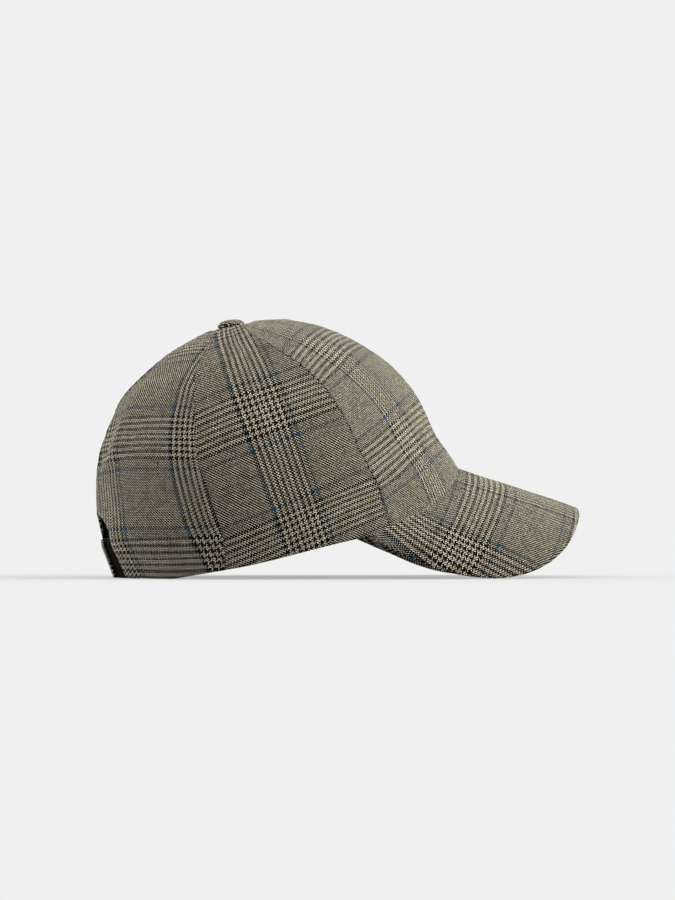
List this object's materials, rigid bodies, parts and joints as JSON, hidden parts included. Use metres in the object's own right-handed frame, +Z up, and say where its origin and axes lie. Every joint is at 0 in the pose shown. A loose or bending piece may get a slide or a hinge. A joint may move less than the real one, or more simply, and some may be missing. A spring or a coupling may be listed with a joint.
{
  "type": "six-panel baseball cap",
  "caption": "Six-panel cap in a woven glen check with a curved peak, a covered top button, a dark sweatband and a strap across the arched opening at the back.",
  "frame": {"origin": "On the floor, under the middle of the cap's bounding box as it stands by itself", "axes": "+X towards the front of the peak, +Y to the wearer's left, +Z up. The cap stands on its rear rim and on both edges of the peak."},
  "size_m": [0.2762, 0.16, 0.1468],
  "materials": {
    "checked_cloth": "Wool-look twill in a glen check: cream and near-black brown yarns with a thin blue overcheck. Matt with a slight fuzz.",
    "black_tape": "Plain woven black cotton tape, matt"
  },
  "bodies": {
    "root": {"front_panel_right": "checked_cloth", "front_panel_left": "checked_cloth", "side_panel_right": "checked_cloth", "side_panel_left": "checked_cloth", "back_panel_right": "checked_cloth", "back_panel_left": "checked_cloth", "peak": "checked_cloth", "top_button": "checked_cloth", "strap_outer": "checked_cloth", "sweatband": "black_tape", "arch_binding": "black_tape", "strap_inner": "black_tape"}
  },
  "joints": []
}
